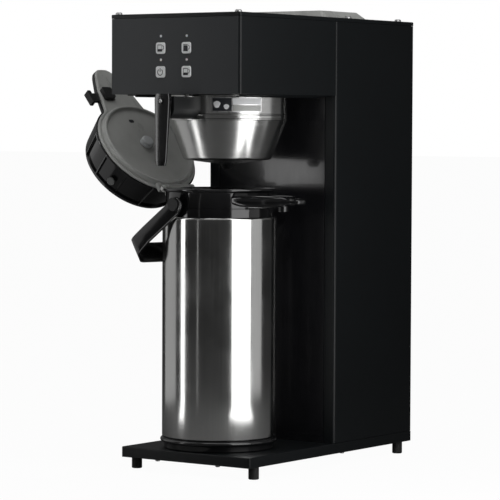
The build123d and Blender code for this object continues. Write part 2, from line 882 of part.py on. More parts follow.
# ---- airpot lid, drawn closed in its own frame: origin on the hinge axis, +X towards the nose ------
plate_bottom = 6.5
plate_thickness = 3.0
band_step = 3.3
cover_bottom = plate_bottom + band_step + plate_thickness + 0.1
cover_top = cover_bottom + cover_height
cover_taper = 8.7
nose_height = 8.0
cover_wall = 2.5
button_radius = 40.0
latch_x = hinge_radius + 93.0
latch_y = -18.0
latch_length = 18.0
latch_width = 16.0
latch_travel = 3.0
nose_plan = [(60, -37), (105, -27), (130, -17), (nose_length, -8)]


def lid_outline(radius, margin):
    """The lid's plan: a round body with a tapering nose, drawn in the current sketch."""
    with Locations((hinge_radius, 0)):
        Circle(radius)
    near_edge = [(hinge_radius + x + margin, y - margin) for x, y in nose_plan]
    Polygon(*near_edge, *[(x, -y) for x, y in reversed(near_edge)], align=None)


with BuildPart() as lid_plate:
    with BuildSketch(Plane.XY.offset(plate_bottom + band_step)):
        lid_outline(lid_radius, 0)
    extrude(amount=plate_thickness)
    fillet(lid_plate.edges().filter_by(Axis.Z).sort_by(Axis.X)[-4:], 6)
    with BuildSketch(Plane.XY.offset(plate_bottom)):
        with Locations((hinge_radius, 0)):
            Circle(lid_radius - 5.8)
    extrude(amount=band_step + plate_thickness)
    with BuildSketch(Plane.XY.offset(plate_bottom + plate_thickness)):
        with Locations((hinge_radius, 0)):
            Circle(lid_radius - 5.8 - plate_thickness)
    extrude(amount=band_step, mode=Mode.SUBTRACT)
    with BuildSketch(Plane.XY.offset(plate_bottom)):
        with Locations((hinge_radius + 44, -5)):
            SlotOverall(9, 5.0)
    extrude(amount=plate_thickness, mode=Mode.SUBTRACT)
    with BuildSketch(Plane.XY.offset(plate_bottom + band_step)):
        with Locations((latch_x, latch_y + latch_travel / 2)):
            RectangleRounded(latch_length + 1, latch_width + latch_travel + 1, 3)
    extrude(amount=plate_thickness, mode=Mode.SUBTRACT)
    for side in (-1, 1):
        with BuildSketch(Plane.XZ.offset(side * (bracket_half + 0.5))):
            with BuildLine():
                Polyline((0, -5), (12.5, 6.6), (16, 6.6), (16, 12.6), (0, 5), close=True)
            make_face()
            Circle(5.0)
            Circle(pin_radius + fit_clearance, mode=Mode.SUBTRACT)
        extrude(amount=side * 8)
save(lid_plate, "lid_plate", lid_frame)

with BuildPart() as sealing_ring:
    with BuildSketch(Plane.XZ):
        with BuildLine():
            Polyline(
                (62, plate_bottom), (67, plate_bottom), (66.4, 3.2), (64.6, 2.5), (62.8, 3.2), close=True
            )
        make_face()
    revolve(axis=Axis.Z)
sealing_ring.part = sealing_ring.part.moved(Location((hinge_radius, 0, 0)))
save(sealing_ring, "sealing_ring", lid_frame)

with BuildPart() as valve_knob:
    with BuildSketch(Plane.XY.offset(plate_bottom)):
        with Locations((hinge_radius + 3, -3)):
            Circle(8.5)
    extrude(amount=-8)
    fillet(valve_knob.faces().sort_by(Axis.Z)[0].edges(), 2.5)
save(valve_knob, "valve_knob", lid_frame)

with BuildPart() as lid_cover:
    with BuildSketch(Plane.XY.offset(cover_bottom)):
        with Locations((hinge_radius, 0)):
            Circle(cover_radius)
    extrude(amount=cover_height, taper=cover_taper)
    fillet(lid_cover.faces().sort_by(Axis.Z)[-1].edges(), 5)
    with BuildSketch(Plane.XY.offset(cover_bottom)):
        lid_outline(lid_radius, 1.0)
    extrude(amount=nose_height)
    fillet(lid_cover.edges().filter_by(Axis.Z).sort_by(Axis.X)[-4:], 6)
    with BuildSketch(Plane.XY.offset(cover_bottom)):
        with Locations((hinge_radius, 0)):
            Circle(cover_radius - cover_wall)
    extrude(amount=cover_height - cover_wall, taper=cover_taper, mode=Mode.SUBTRACT)
    with BuildSketch(Plane.XY.offset(cover_bottom)):
        lid_outline(lid_radius - 6, -cover_wall)
    extrude(amount=nose_height - cover_wall, mode=Mode.SUBTRACT)
    with BuildSketch(Plane.XY.offset(cover_top - 10)):
        with Locations((hinge_radius, 0)):
            Circle(button_radius + 0.8)
    extrude(amount=20, mode=Mode.SUBTRACT)
    with BuildSketch(Plane.XY.offset(cover_bottom)):
        with Locations((4, 0)):
            Rectangle(28, 60)
    extrude(amount=8, mode=Mode.SUBTRACT)
    with BuildSketch(Plane.XZ.offset(16)):
        with Locations((latch_x, cover_bottom + 2.9)):
            Rectangle(15, 5.2)
    extrude(amount=30, mode=Mode.SUBTRACT)
save(lid_cover, "lid_cover", lid_frame)

with BuildPart() as pump_button:
    with BuildSketch(Plane.XY.offset(cover_top - 4)):
        with Locations((hinge_radius, 0)):
            Circle(button_radius)
    extrude(amount=9)
    fillet(pump_button.faces().sort_by(Axis.Z)[-1].edges(), 3)
    with BuildSketch(Plane.XY.offset(cover_top - 4)):
        with Locations((hinge_radius, 0)):
            Circle(37)
            Circle(34.5, mode=Mode.SUBTRACT)
    extrude(amount=-18)
save(pump_button, "pump_button", lid_frame)

fold_count = 3
fold_pitch = 6.0
with BuildPart() as pump_bellows:
    with BuildSketch(Plane.XZ):
        with BuildLine():
            inner = [(23, cover_bottom + fold_pitch * i) for i in range(fold_count + 1)]
            outer = [(32, cover_bottom + fold_pitch * (i + 0.5)) for i in range(fold_count)]
            folds = [p for pair in zip(inner, outer) for p in pair] + [inner[-1]]
            Polyline((0, cover_bottom), *folds, (0, cover_bottom + fold_pitch * fold_count), close=True)
        make_face()
    revolve(axis=Axis.Z)
pump_bellows.part = pump_bellows.part.moved(Location((hinge_radius, 0, 0)))
save(pump_bellows, "pump_bellows", lid_frame)

tab_reach = 46.0
with BuildPart() as lid_latch:
    with BuildSketch(Plane.XY.offset(3.5)):
        with Locations((latch_x, latch_y)):
            RectangleRounded(latch_length, latch_width, 2)
    extrude(amount=cover_bottom - 0.3 - 3.5)
    with BuildSketch(Plane.XY.offset(cover_bottom - 0.4)):
        with Locations((latch_x, latch_y)):
            Rectangle(14, 12)
    extrude(amount=1.5)
    with BuildSketch(Plane.XY.offset(cover_bottom + 1.0)):
        with Locations((latch_x, (latch_y - tab_reach) / 2)):
            Rectangle(14, tab_reach + latch_y)
    extrude(amount=4)
    with BuildSketch(Plane.XY.offset(cover_bottom - 1.5)):
        with Locations((latch_x, 3 - tab_reach)):
            RectangleRounded(20, 6, 1.5)
    extrude(amount=9)
save(lid_latch, "lid_latch", lid_frame)

rivet_seat = 73.3
with BuildPart() as lid_rivets:
    for turn in (-1, 1):
        rivet_angle = turn * radians(118)
        normal = (cos(rivet_angle), sin(rivet_angle), 0)
        spot = (hinge_radius + rivet_seat * normal[0], rivet_seat * normal[1], cover_bottom + 25)
        with BuildSketch(Plane(origin=spot, z_dir=normal)):
            Circle(5.4)
        extrude(amount=2.2)
save(lid_rivets, "lid_rivets", lid_frame)
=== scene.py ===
"""The look of the coffee brewer: materials, moulded details, light and camera around the CAD frame."""

import json
import math

import bmesh
import bpy
from mathutils import Matrix, Vector


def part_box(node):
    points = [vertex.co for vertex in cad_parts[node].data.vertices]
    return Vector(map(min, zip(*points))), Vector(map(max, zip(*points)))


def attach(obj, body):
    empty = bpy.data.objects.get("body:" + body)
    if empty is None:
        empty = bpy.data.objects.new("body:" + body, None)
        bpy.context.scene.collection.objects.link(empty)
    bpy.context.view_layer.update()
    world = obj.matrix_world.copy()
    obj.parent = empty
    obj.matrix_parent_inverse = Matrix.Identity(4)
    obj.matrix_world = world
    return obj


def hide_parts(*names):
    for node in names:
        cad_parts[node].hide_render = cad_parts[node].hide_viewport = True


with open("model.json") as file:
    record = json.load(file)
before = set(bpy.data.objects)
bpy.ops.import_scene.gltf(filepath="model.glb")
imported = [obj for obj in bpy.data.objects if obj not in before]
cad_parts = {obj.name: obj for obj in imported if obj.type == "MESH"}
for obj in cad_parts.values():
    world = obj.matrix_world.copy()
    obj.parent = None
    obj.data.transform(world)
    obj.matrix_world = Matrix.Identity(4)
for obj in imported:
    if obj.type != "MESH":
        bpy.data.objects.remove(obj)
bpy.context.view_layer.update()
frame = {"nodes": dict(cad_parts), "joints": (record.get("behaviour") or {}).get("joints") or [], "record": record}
nodes = frame["nodes"]
joints = {joint["name"]: joint for joint in frame["joints"]}
MM = 0.001


# ---- places taken from the frame -----------------------------------------------------------------
def middle(node):
    low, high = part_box(node)
    return (low + high) / 2


def basis(origin, x_axis, y_axis, z_axis):
    """A matrix from a local frame, in millimetres, to the shared frame, in metres."""
    turn = Matrix((x_axis, y_axis, z_axis)).transposed().to_4x4()
    return Matrix.Translation(origin) @ turn @ Matrix.Scale(MM, 4)


UP = Vector((0, 0, 1))
base = middle("base_tray")
basket_axis = middle("basket_shell")
basket_place = basis(Vector((basket_axis.x, basket_axis.y, 0)), Vector((1, 0, 0)), Vector((0, 1, 0)), UP)

bail_joint = joints["bail_hinge"]
pot_y = Vector(bail_joint["axis"])
pot_x = pot_y.cross(UP)
bail_pivot = Vector(bail_joint["pos_m"])
pot_place = basis(Vector((bail_pivot.x, bail_pivot.y, 0)), pot_x, pot_y, UP)
BAIL_DROOP = math.radians(33.3)
bail_x = pot_x * math.cos(BAIL_DROOP) + UP * math.sin(BAIL_DROOP)
bail_place = basis(bail_pivot, bail_x, pot_y, bail_x.cross(pot_y))

lid_joint = joints["airpot_lid_hinge"]
lid_z = -Vector(joints["pump_button_press"]["axis"])
lid_x = pot_y.cross(lid_z)
lid_place = basis(Vector(lid_joint["pos_m"]), lid_x, pot_y, lid_z)


# ---- camera ----------------------------------------------------------------------------------------
CAMERA_SPOT = Vector((2.0285, -2.8856, 0.4479))
CAMERA_AZIMUTH = math.radians(35.56)
CAMERA_PITCH = math.radians(2.707)
CAMERA_ROLL = math.radians(0.226)
CAMERA_LENS = 190.9


def make_camera():
    """A long lens in front and to the right, a little above the airpot's collar, tipped slightly down."""
    right = Vector((math.cos(CAMERA_AZIMUTH), math.sin(CAMERA_AZIMUTH), 0))
    level = Vector((-math.sin(CAMERA_AZIMUTH), math.cos(CAMERA_AZIMUTH), 0))
    ahead = level * math.cos(CAMERA_PITCH) - UP * math.sin(CAMERA_PITCH)
    above = UP * math.cos(CAMERA_PITCH) + level * math.sin(CAMERA_PITCH)
    side = right * math.cos(CAMERA_ROLL) + above * math.sin(CAMERA_ROLL)
    top = above * math.cos(CAMERA_ROLL) - right * math.sin(CAMERA_ROLL)
    camera_data = bpy.data.cameras.new("camera")
    camera_data.sensor_width = 36
    camera_data.lens = CAMERA_LENS
    camera_data.clip_end = 100
    camera = bpy.data.objects.new("camera", camera_data)
    bpy.context.scene.collection.objects.link(camera)
    turn = Matrix((side, top, -ahead)).transposed().to_4x4()
    spot = Vector((base.x, base.y, 0)) + CAMERA_SPOT
    camera.matrix_world = Matrix.Translation(spot) @ turn
    bpy.context.scene.camera = camera


# ---- materials -------------------------------------------------------------------------------------
class Graph:
    """A short way to add and join the nodes of one material."""

    def __init__(self, name):
        self.material = bpy.data.materials.new(name)
        self.material.use_nodes = True
        self.tree = self.material.node_tree
        self.shader = self.tree.nodes["Principled BSDF"]
        self.place = self.add("ShaderNodeTexCoord").outputs["Object"]

    def add(self, kind, **settings):
        node = self.tree.nodes.new(kind)
        for key, value in settings.items():
            setattr(node, key, value)
        return node

    def join(self, source, target):
        self.tree.links.new(source, target)

    def stretched(self, x, y, z):
        mapping = self.add("ShaderNodeMapping")
        mapping.inputs["Scale"].default_value = (x, y, z)
        self.join(self.place, mapping.inputs["Vector"])
        return mapping.outputs["Vector"]

    def noise(self, scale, detail=3.0, place=None, roughness=0.55):
        node = self.add("ShaderNodeTexNoise")
        node.inputs["Scale"].default_value = scale
        node.inputs["Detail"].default_value = detail
        node.inputs["Roughness"].default_value = roughness
        self.join(place or self.place, node.inputs["Vector"])
        return node.outputs["Fac"]

    def ranged(self, value, low, high, start=0.3, end=0.7):
        node = self.add("ShaderNodeMapRange")
        node.inputs["From Min"].default_value = start
        node.inputs["From Max"].default_value = end
        node.inputs["To Min"].default_value = low
        node.inputs["To Max"].default_value = high
        self.join(value, node.inputs["Value"])
        return node.outputs["Result"]

    def colours(self, value, dark, light, start=0.3, end=0.7):
        ramp = self.add("ShaderNodeValToRGB")
        ramp.color_ramp.elements[0].position = start
        ramp.color_ramp.elements[1].position = end
        ramp.color_ramp.elements[0].color = (*dark, 1)
        ramp.color_ramp.elements[1].color = (*light, 1)
        self.join(value, ramp.inputs["Fac"])
        self.join(ramp.outputs["Color"], self.shader.inputs["Base Color"])
        return ramp.outputs["Color"]

    def rough(self, value, low, high):
        self.join(self.ranged(value, low, high), self.shader.inputs["Roughness"])

    def bump(self, *layers):
        """Each layer is a height, its strength and its depth in metres."""
        normal = None
        for value, strength, depth in layers:
            node = self.add("ShaderNodeBump")
            node.inputs["Strength"].default_value = strength
            node.inputs["Distance"].default_value = depth
            self.join(value, node.inputs["Height"])
            if normal:
                self.join(normal, node.inputs["Normal"])
            normal = node.outputs["Normal"]
        self.join(normal, self.shader.inputs["Normal"])

    def constant(self, name, value):
        self.shader.inputs[name].default_value = value


def shade(colour, amount):
    return tuple(channel * amount for channel in colour)


def powder_coat(name, colour, rough):
    """Baked powder paint: a fine orange peel over slow changes of tone."""
    graph = Graph(name)
    broad = graph.noise(9.0, 4.0)
    peel = graph.noise(1400.0, 2.0)
    graph.colours(broad, shade(colour, 0.88), shade(colour, 1.12))
    graph.rough(peel, rough - 0.05, rough + 0.07)
    graph.bump((peel, 0.22, 0.00012), (graph.noise(240.0, 2.0), 0.1, 0.0003))
    graph.constant("Specular IOR Level", 0.3)
    return graph.material


def moulded(name, colour, rough):
    """Moulded plastic with a spark-eroded grain and faint flow marks."""
    graph = Graph(name)
    flow = graph.noise(22.0, 5.0, graph.stretched(1.0, 1.0, 0.35))
    grain = graph.noise(1900.0, 2.0)
    graph.colours(flow, shade(colour, 0.86), shade(colour, 1.14))
    graph.rough(flow, rough - 0.05, rough + 0.06)
    graph.bump((grain, 0.2, 0.00015))
    return graph.material


def gloss(name, colour, rough):
    """Polished moulding: a deep gloss with a very slight wave and fine wiping marks."""
    graph = Graph(name)
    wave = graph.noise(38.0, 2.0)
    wipe = graph.noise(420.0, 3.0, graph.stretched(1.0, 1.0, 0.06))
    graph.colours(wave, shade(colour, 0.8), shade(colour, 1.2))
    graph.rough(wipe, rough - 0.03, rough + 0.05)
    graph.bump((wave, 0.05, 0.0004))
    graph.constant("Coat Weight", 0.5)
    graph.constant("Coat Roughness", 0.06)
    return graph.material


def steel(name, along, rough, tone):
    """Stainless sheet, brushed along one direction: round for a spun part, upright for a drawn one."""
    graph = Graph(name)
    stretch = {"round": (14.0, 14.0, 900.0), "upright": (900.0, 900.0, 7.0)}[along]
    lines = graph.noise(1.0, 4.0, graph.stretched(*stretch), 0.7)
    cloud = graph.noise(16.0, 3.0)
    metal = (tone, tone, tone * 0.985)
    graph.colours(lines, shade(metal, 0.93), shade(metal, 1.05))
    spread = graph.add("ShaderNodeMath", operation="MULTIPLY_ADD")
    graph.join(lines, spread.inputs[0])
    spread.inputs[1].default_value = 0.6
    graph.join(graph.ranged(cloud, 0.0, 0.4), spread.inputs[2])
    graph.rough(spread.outputs[0], rough - 0.04, rough + 0.07)
    graph.bump((lines, 0.12, 0.00004))
    graph.constant("Metallic", 1.0)
    return graph.material


def plated(name, tone):
    """Bright plate or foil, a little cloudy."""
    graph = Graph(name)
    cloud = graph.noise(260.0, 4.0)
    graph.colours(cloud, (tone * 0.8,) * 3, (tone * 1.1,) * 3)
    graph.rough(cloud, 0.24, 0.42)
    graph.bump((graph.noise(900.0), 0.1, 0.0001))
    graph.constant("Metallic", 1.0)
    return graph.material


def rubber(name, colour):
    graph = Graph(name)
    fine = graph.noise(700.0, 4.0)
    graph.colours(fine, shade(colour, 0.8), shade(colour, 1.3))
    graph.rough(fine, 0.6, 0.8)
    graph.bump((fine, 0.25, 0.0002))
    return graph.material


def lens(name, colour):
    graph = Graph(name)
    haze = graph.noise(600.0, 2.0)
    graph.colours(haze, shade(colour, 0.92), colour)
    graph.rough(haze, 0.15, 0.25)
    graph.constant("Subsurface Weight", 0.3)
    graph.constant("Subsurface Scale", 0.002)
    return graph.material


def circuit(name):
    graph = Graph(name)
    cells = graph.add("ShaderNodeTexVoronoi", feature="DISTANCE_TO_EDGE")
    cells.inputs["Scale"].default_value = 260.0
    graph.join(graph.place, cells.inputs["Vector"])
    graph.colours(cells.outputs["Distance"], (0.09, 0.2, 0.06), (0.01, 0.07, 0.03), 0.02, 0.06)
    graph.rough(graph.noise(300.0), 0.3, 0.5)
    return graph.material


BLACK_PAINT = (0.0028, 0.0038, 0.0045)
KEYPAD_PAINT = (0.036, 0.039, 0.042, 1)
SAME_WAY = 0.97
MATERIALS = {
    "black_coating": powder_coat("black_powder_coat", BLACK_PAINT, 0.38),
    "charcoal_coating": powder_coat("charcoal_powder_coat", (0.03, 0.033, 0.036), 0.46),
    "dark_coating": powder_coat("dark_powder_coat", (0.007, 0.0075, 0.008), 0.5),
    "gloss_panel": gloss("gloss_panel", (0.006, 0.006, 0.007), 0.2),
    "rubber": rubber("black_rubber", (0.012, 0.012, 0.012)),
    "stainless_steel": steel("spun_steel", "round", 0.2, 0.62),
    "zinc_steel": plated("zinc_plate", 0.55),
    "black_plastic": moulded("black_plastic", (0.006, 0.0065, 0.007), 0.34),
    "dark_grey_plastic": moulded("dark_grey_plastic", (0.075, 0.077, 0.075), 0.35),
    # Lighter grey painted on the outer faces of some lid-cover ribs as a painted highlight.
    "rib_painted_highlight": moulded("lid_rib_painted_highlight", (0.11, 0.112, 0.11), 0.3),
    "key_white": moulded("key_white_plastic", (0.86, 0.87, 0.87), 0.35),
    "gloss_black_plastic": gloss("gloss_black_plastic", (0.006, 0.006, 0.0065), 0.11),
    "grey_plastic": moulded("grey_plastic", (0.42, 0.425, 0.41), 0.3),
    "light_grey_plastic": moulded("light_grey_plastic", (0.62, 0.64, 0.65), 0.4),
    "indicator_lens": lens("indicator_lens", (0.85, 0.88, 0.9)),
    "circuit_board": circuit("circuit_board"),
    "label_sheet": plated("label_foil", 0.7),
    "silicone": rubber("silicone", (0.3, 0.3, 0.29)),
}
upright_steel = steel("drawn_steel", "upright", 0.13, 0.66)
ink = moulded("dark_ink", (0.012, 0.014, 0.018), 0.5)
white_ink = moulded("white_ink", (0.8, 0.81, 0.82), 0.5)


def head_paint(facing):
    """Black powder coat with the keypad's face in charcoal, picked by the way that face points."""
    material = powder_coat("head_powder_coat", BLACK_PAINT, 0.4)
    tree = material.node_tree
    base_colour = tree.nodes["Principled BSDF"].inputs["Base Color"]
    geometry = tree.nodes.new("ShaderNodeNewGeometry")
    agreement = tree.nodes.new("ShaderNodeVectorMath")
    agreement.operation = "DOT_PRODUCT"
    agreement.inputs[1].default_value = facing
    chosen = tree.nodes.new("ShaderNodeMath")
    chosen.operation = "GREATER_THAN"
    chosen.inputs[1].default_value = SAME_WAY
    tint = tree.nodes.new("ShaderNodeMix")
    tint.data_type = "RGBA"
    black_in, charcoal_in = [socket for socket in tint.inputs if socket.type == "RGBA"]
    colour_out = next(socket for socket in tint.outputs if socket.type == "RGBA")
    charcoal_in.default_value = KEYPAD_PAINT
    tree.links.new(geometry.outputs["True Normal"], agreement.inputs[0])
    tree.links.new(agreement.outputs["Value"], chosen.inputs[0])
    tree.links.new(chosen.outputs[0], tint.inputs[0])
    tree.links.new(base_colour.links[0].from_socket, black_in)
    tree.links.new(colour_out, base_colour)
    return material


def dress_cad_nodes():
    """Give every CAD node the material of its slot, and a few nodes a closer one."""
    for row in frame["record"]["subparts"]:
        node = nodes[row["node"]]
        node.data.materials.clear()
        node.data.materials.append(MATERIALS[row["material_slot"]])
    nodes["airpot_shell"].data.materials[0] = upright_steel
    nodes["lid_rivets"].data.materials[0] = MATERIALS["dark_grey_plastic"]
    for name in ("key_upper_left", "key_upper_right", "key_lower_left", "key_lower_right"):
        nodes[name].data.materials[0] = MATERIALS["key_white"]
    press = Vector(joints["key_upper_left_press"]["axis"])
    nodes["head_shell"].data.materials[0] = head_paint(-press.normalized())


# ---- mesh tools ------------------------------------------------------------------------------------
LYING = Matrix.Rotation(math.radians(90), 4, "X")


def finish_mesh(name, mesh_maker, place, material, smooth_angle=32):
    """Turn a bmesh drawn in millimetres in a local frame into an object in the shared frame."""
    mesh = bpy.data.meshes.new(name)
    bmesh.ops.remove_doubles(mesh_maker, verts=mesh_maker.verts, dist=0.0005)
    bmesh.ops.recalc_face_normals(mesh_maker, faces=mesh_maker.faces)
    mesh_maker.to_mesh(mesh)
    mesh_maker.free()
    mesh.transform(place)
    mesh.shade_smooth()
    mesh.set_sharp_from_angle(angle=math.radians(smooth_angle))
    mesh.materials.append(material)
    piece = bpy.data.objects.new(name, mesh)
    bpy.context.scene.collection.objects.link(piece)
    return piece


def stand_for(piece, body, slot, *replaced):
    """Tie a piece to its body and hide the CAD nodes that it stands for; the slot is not used."""
    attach(piece, body)
    if replaced:
        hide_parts(*replaced)


def lathe(profile, centre=(0, 0), steps=160):
    """Turn a closed outline of (radius, height) about an upright axis."""
    maker = bmesh.new()
    rings = []
    for step in range(steps):
        turn = 2 * math.pi * step / steps
        ring = []
        for radius, height in profile:
            x = centre[0] + radius * math.cos(turn)
            y = centre[1] + radius * math.sin(turn)
            ring.append(maker.verts.new((x, y, height)))
        rings.append(ring)
    count = len(profile)
    for step in range(steps):
        here, there = rings[step], rings[(step + 1) % steps]
        for i in range(count):
            j = (i + 1) % count
            on_axis = profile[i][0] < 1e-6 and profile[j][0] < 1e-6
            if not on_axis:
                maker.faces.new((here[i], there[i], there[j], here[j]))
    bmesh.ops.remove_doubles(maker, verts=maker.verts, dist=0.0005)
    bmesh.ops.dissolve_degenerate(maker, edges=maker.edges, dist=0.0001)
    return maker


def arc(centre, radius, start, end, count=8):
    """Points on an arc, angles in degrees."""
    points = []
    for i in range(count + 1):
        turn = math.radians(start + (end - start) * i / count)
        points.append((centre[0] + radius * math.cos(turn), centre[1] + radius * math.sin(turn)))
    return points


def loft(sections):
    """Skin a row of closed sections, each a list of 3-D points, and cap both ends."""
    maker = bmesh.new()
    rows = [[maker.verts.new(point) for point in section] for section in sections]
    count = len(rows[0])
    for near, far in zip(rows, rows[1:]):
        for i in range(count):
            j = (i + 1) % count
            maker.faces.new((near[i], near[j], far[j], far[i]))
    maker.faces.new(list(reversed(rows[0])))
    maker.faces.new(rows[-1])
    return maker


def rounded_box(width, height, radius, steps=6):
    """The outline of a rounded rectangle about the origin."""
    radius = min(radius, width / 2 - 0.01, height / 2 - 0.01)
    points = []
    corners = ((1, 1, 0), (-1, 1, 90), (-1, -1, 180), (1, -1, 270))
    for sign_x, sign_y, start in corners:
        centre = (sign_x * (width / 2 - radius), sign_y * (height / 2 - radius))
        points += arc(centre, radius, start, start + 90, steps)
    return points


def prism(outline, low, high, bevel=0.0):
    """A plate of the given outline between two heights, with rounded rims where it has a bevel."""
    maker = bmesh.new()
    lower = [maker.verts.new((x, y, low)) for x, y in outline]
    upper = [maker.verts.new((x, y, high)) for x, y in outline]
    count = len(outline)
    for i in range(count):
        j = (i + 1) % count
        maker.faces.new((lower[i], lower[j], upper[j], upper[i]))
    caps = [maker.faces.new(list(reversed(lower))), maker.faces.new(upper)]
    if bevel:
        rims = {edge for cap in caps for edge in cap.edges}
        bmesh.ops.bevel(maker, geom=list(rims), offset=bevel, segments=3, profile=0.5, affect="EDGES")
    return maker


def round_rims(maker, offset):
    """Round every sharp edge of a mesh."""
    rims = [edge for edge in maker.edges if len(edge.link_faces) == 2 and edge.calc_face_angle() > 1]
    bmesh.ops.bevel(maker, geom=rims, offset=offset, segments=3, profile=0.5, affect="EDGES")


def sideways_disc(maker, spot, radius, depth, segments):
    """Add a disc whose axis lies along the local Y axis."""
    bmesh.ops.create_cone(
        maker,
        cap_ends=True,
        segments=segments,
        radius1=radius,
        radius2=radius,
        depth=depth,
        matrix=Matrix.Translation(spot) @ LYING,
    )


# ---- brew basket -----------------------------------------------------------------------------------
BAND_RADIUS = 76.6
BEAD = 1.3
GRIP_LOW = 395.8
GRIP_HIGH = 486.2
GRIP_SCREW = (0, -142.4, 477)


def make_basket():
    """Spun steel basket: band, two rolled beads, tapered bowl and a dished floor."""
    outside = [(0, 396.9), (11.5, 397.1), (30, 399.2)]
    outside += arc((53.2, 407.2), 5.0, -80, -16, 8)
    outside += [(67.0, 428.5), (76.2, 451.6)]
    for height in (454.5, 460.5):
        outside += arc((BAND_RADIUS, height), BEAD, -80, 80, 8)
    outside += [(BAND_RADIUS, 466.0), (BAND_RADIUS, 483.6)]
    rim = [(79.9, 484.6)] + arc((79.9, 485.2), 0.6, -90, 90, 6)
    inside = [(75.6, 485.8), (75.4, 483.0), (75.4, 453.0), (66.0, 429.0), (57.2, 408.4)]
    inside += [(53.2, 403.6), (30, 400.6), (11.5, 398.5), (0, 398.3)]
    profile = outside + rim + inside
    piece = finish_mesh("brew_basket_bowl", lathe(profile), basket_place, MATERIALS["stainless_steel"], 40)
    stand_for(piece, "basket", "stainless_steel", "basket_shell")


def make_basket_handle():
    """Moulded grip: a rounded section with a dished face, narrower and thinner at its lower end."""
    sections = []
    levels = 14
    for i in range(levels + 1):
        part = i / levels
        z = GRIP_LOW + (GRIP_HIGH - GRIP_LOW) * part
        wide = 16.5 + 7.0 * part
        thick = 5.4 + 4.0 * part ** 1.3
        centre = -141.7 + 4.8 * part
        soft = 1.0 if 0 < i < levels else 0.86
        outline = []
        for x, y in rounded_box(wide * soft, thick * soft, 2.6, 8):
            dish = 0.7 * max(0.0, 1 - (x / (wide * 0.24)) ** 2) if y < 0 else 0.0
            outline.append((x, centre + y + dish, z))
        sections.append(outline)
    piece = finish_mesh("basket_grip", loft(sections), basket_place, MATERIALS["gloss_black_plastic"], 50)
    stand_for(piece, "basket", "black_plastic", "basket_handle")
    facing_out = Matrix.Translation(GRIP_SCREW) @ LYING
    cup = [(0, 0.3), (2.8, 0.3), (3.0, 1.0), (3.3, 1.1), (3.6, 1.0), (3.7, 0.7), (3.7, -1.1), (0, -1.1)]
    maker = lathe(cup, steps=40)
    bmesh.ops.transform(maker, matrix=facing_out, verts=maker.verts)
    recess = finish_mesh("grip_screw_well", maker, basket_place, MATERIALS["gloss_black_plastic"])
    stand_for(recess, "basket", "gloss_black_plastic")
    socket_head = [(0, 0.9), (1.0, 0.9), (1.1, 1.9), (1.6, 1.9)]
    socket_head += [(2.2, 1.5), (2.5, 0.9), (2.5, 0.2), (0, 0.2)]
    maker = lathe(socket_head, steps=40)
    bmesh.ops.transform(maker, matrix=facing_out, verts=maker.verts)
    screw = finish_mesh("grip_screw_head", maker, basket_place, MATERIALS["zinc_steel"])
    stand_for(screw, "basket", "zinc_steel", "handle_screw")


def curved_tile(low_turn, high_turn, low_z, high_z, radius, thick):
    """A thin tile wrapped on the basket's band; turns in degrees about its axis."""
    outline = arc((0, 0), radius + thick, low_turn, high_turn, 20)
    outline += arc((0, 0), radius, high_turn, low_turn, 20)
    return prism(outline, low_z, high_z)


def make_label():
    """A foil label with no text: a dark field with two plain blots, a white field and a grey one."""
    start, end, low, high = -69.5, -19.5, 463.8, 482.8
    backing = curved_tile(start, end, low, high, BAND_RADIUS + 0.1, 0.5)
    plate = finish_mesh("label_foil_plate", backing, basket_place, MATERIALS["label_sheet"])
    stand_for(plate, "basket", "label_sheet", "basket_label")
    divide = start + 0.4 * (end - start)
    tiles = (
        ("label_dark_field", start + 1.2, divide - 0.6, low + 1.4, high - 1.4, ink),
        ("label_white_field", divide + 0.6, end - 1.2, low + 9.8, high - 1.4, white_ink),
        ("label_grey_field", divide + 0.6, end - 1.2, low + 1.4, low + 8.8, MATERIALS["grey_plastic"]),
    )
    for name, from_turn, to_turn, from_z, to_z, material in tiles:
        field = curved_tile(from_turn, to_turn, from_z, to_z, BAND_RADIUS + 0.55, 0.12)
        tile = finish_mesh(name, field, basket_place, material)
        stand_for(tile, "basket", "label_sheet")
    for index, (turn, height, size) in enumerate(((-64.0, 473.5, 4.4), (-55.0, 470.5, 3.4))):
        angle = math.radians(turn)
        normal = Vector((math.cos(angle), math.sin(angle), 0))
        spot = normal * (BAND_RADIUS + 0.45) + UP * height
        outline = [(size * math.cos(a) * (1 + 0.12 * math.sin(3 * a)), size * math.sin(a))
                   for a in (2 * math.pi * i / 40 for i in range(40))]
        maker = prism(outline, 0.0, 0.5, 0.1)
        turned = Matrix.Translation(spot) @ normal.to_track_quat("Z", "Y").to_matrix().to_4x4()
        bmesh.ops.transform(maker, matrix=turned, verts=maker.verts)
        blot = finish_mesh(f"label_blot_{index + 1}", maker, basket_place, white_ink)
        stand_for(blot, "basket", "label_sheet")


# ---- keys ------------------------------------------------------------------------------------------
def key_icon(name, body, outlines):
    """Thin printed shapes on a key's face, drawn about the key's centre, +X right and +Y up."""
    low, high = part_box(body)
    centre = Vector(((low.x + high.x) / 2, low.y, (low.z + high.z) / 2))
    place = basis(centre, Vector((1, 0, 0)), UP, Vector((0, -1, 0)))
    whole = bmesh.new()
    for outline in outlines:
        maker = prism(outline, -0.05, 0.09)
        mesh = bpy.data.meshes.new("print")
        maker.to_mesh(mesh)
        maker.free()
        whole.from_mesh(mesh)
        bpy.data.meshes.remove(mesh)
    icon = finish_mesh(name, whole, place, ink)
    stand_for(icon, body, "light_grey_plastic")


def ring_sector(centre, radius, width, start, end, count=18):
    """The outline of a part of a flat ring, between two angles in degrees."""
    outer = arc(centre, radius + width / 2, start, end, count)
    return outer + arc(centre, radius - width / 2, end, start, count)


